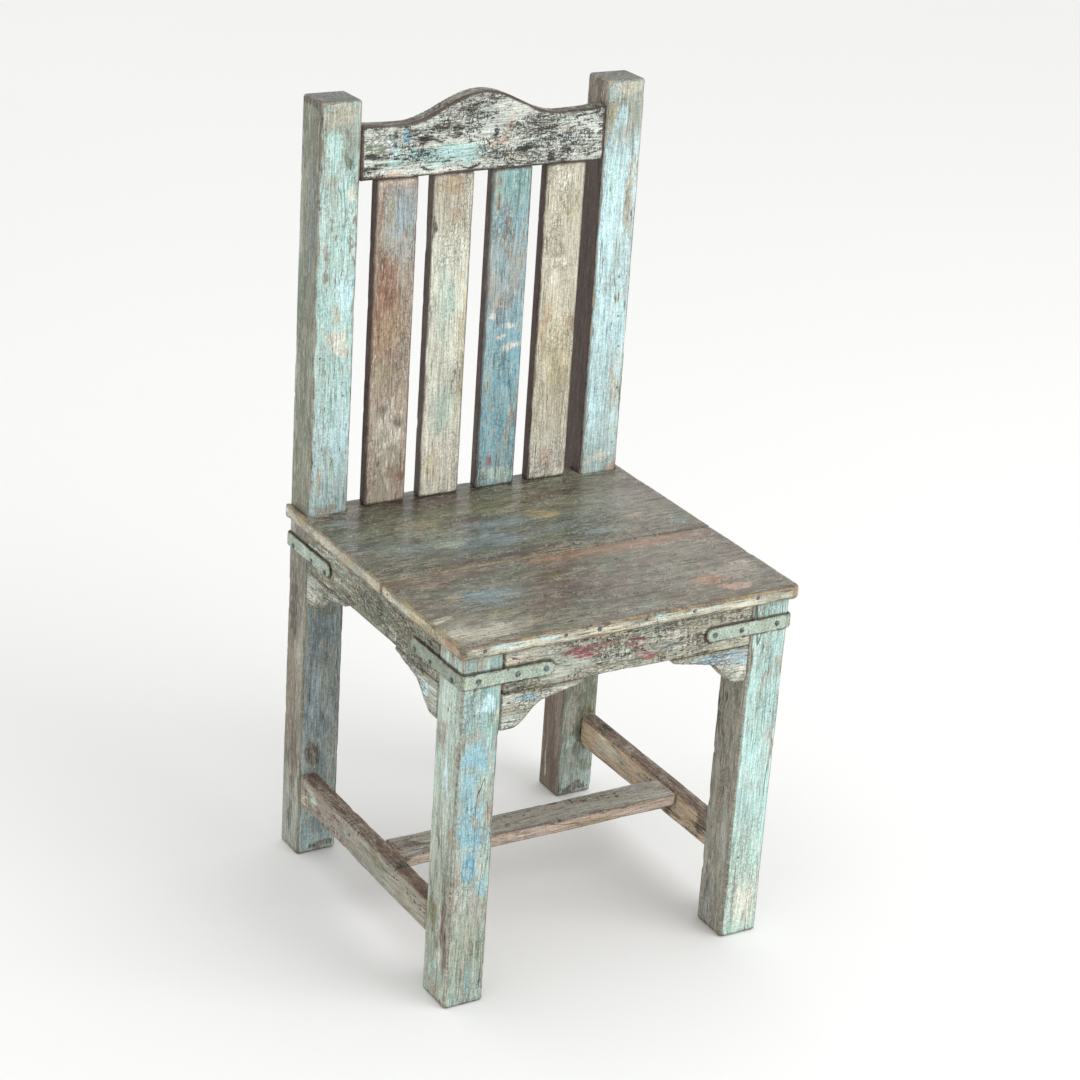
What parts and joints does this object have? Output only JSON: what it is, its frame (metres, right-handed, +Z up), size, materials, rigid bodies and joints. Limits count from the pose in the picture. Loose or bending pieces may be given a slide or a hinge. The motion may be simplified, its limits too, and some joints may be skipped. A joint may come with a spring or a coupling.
{
  "type": "wooden side chair with peeling paint",
  "caption": "Side chair of reclaimed timber with peeling layered paint, an ogee crest, slatted back, plank seat, shaped corner brackets, iron corner straps and an H stretcher.",
  "frame": {"origin": "on the floor under the middle of the chair's bounding box", "axes": "+Z up, the front of the chair faces -Y, +X to the right of a viewer in front of it"},
  "size_m": [0.4486, 0.451, 0.965],
  "materials": {
    "sky_paint": "peeling pale blue and mint paint on weathered wood",
    "mint_paint": "crackled mint and off-white paint on weathered wood",
    "cream_paint": "thin cream paint, rubbed through to the wood",
    "taupe_wood": "worn taupe wood with traces of white and blue paint",
    "teal_paint": "flaking teal blue paint with pale scratches",
    "seat_wood": "lacquered grey-green and brown wood with fine ripple marks",
    "bare_wood": "bare, weathered brown wood with saw marks",
    "painted_iron": "iron straps under worn mint paint",
    "nail_iron": "dark nail heads"
  },
  "bodies": {
    "root": {"apron_back": "mint_paint", "apron_front": "mint_paint", "apron_left": "mint_paint", "apron_right": "mint_paint", "back_post_left": "sky_paint", "back_post_right": "sky_paint", "bracket_back_left": "mint_paint", "bracket_back_right": "mint_paint", "bracket_front_left": "mint_paint", "bracket_front_right": "mint_paint", "bracket_left_back": "mint_paint", "bracket_left_front": "mint_paint", "bracket_right_back": "mint_paint", "bracket_right_front": "mint_paint", "corner_strap_back_left": "painted_iron", "corner_strap_back_right": "painted_iron", "corner_strap_front_left": "painted_iron", "corner_strap_front_right": "painted_iron", "crest_rail": "mint_paint", "cross_stretcher": "bare_wood", "leg_front_left": "sky_paint", "leg_front_right": "sky_paint", "nail_back_left_face_1": "nail_iron", "nail_back_left_face_2": "nail_iron", "nail_back_left_face_3": "nail_iron", "nail_back_left_side_1": "nail_iron", "nail_back_left_side_2": "nail_iron", "nail_back_left_side_3": "nail_iron", "nail_back_right_face_1": "nail_iron", "nail_back_right_face_2": "nail_iron", "nail_back_right_face_3": "nail_iron", "nail_back_right_side_1": "nail_iron", "nail_back_right_side_2": "nail_iron", "nail_back_right_side_3": "nail_iron", "nail_front_left_face_1": "nail_iron", "nail_front_left_face_2": "nail_iron", "nail_front_left_face_3": "nail_iron", "nail_front_left_side_1": "nail_iron", "nail_front_left_side_2": "nail_iron", "nail_front_left_side_3": "nail_iron", "nail_front_right_face_1": "nail_iron", "nail_front_right_face_2": "nail_iron", "nail_front_right_face_3": "nail_iron", "nail_front_right_side_1": "nail_iron", "nail_front_right_side_2": "nail_iron", "nail_front_right_side_3": "nail_iron", "seat_plank_back": "seat_wood", "seat_plank_front": "seat_wood", "side_stretcher_left": "bare_wood", "side_stretcher_right": "bare_wood", "slat_1": "taupe_wood", "slat_2": "cream_paint", "slat_3": "teal_paint", "slat_4": "cream_paint"}
  },
  "joints": []
}
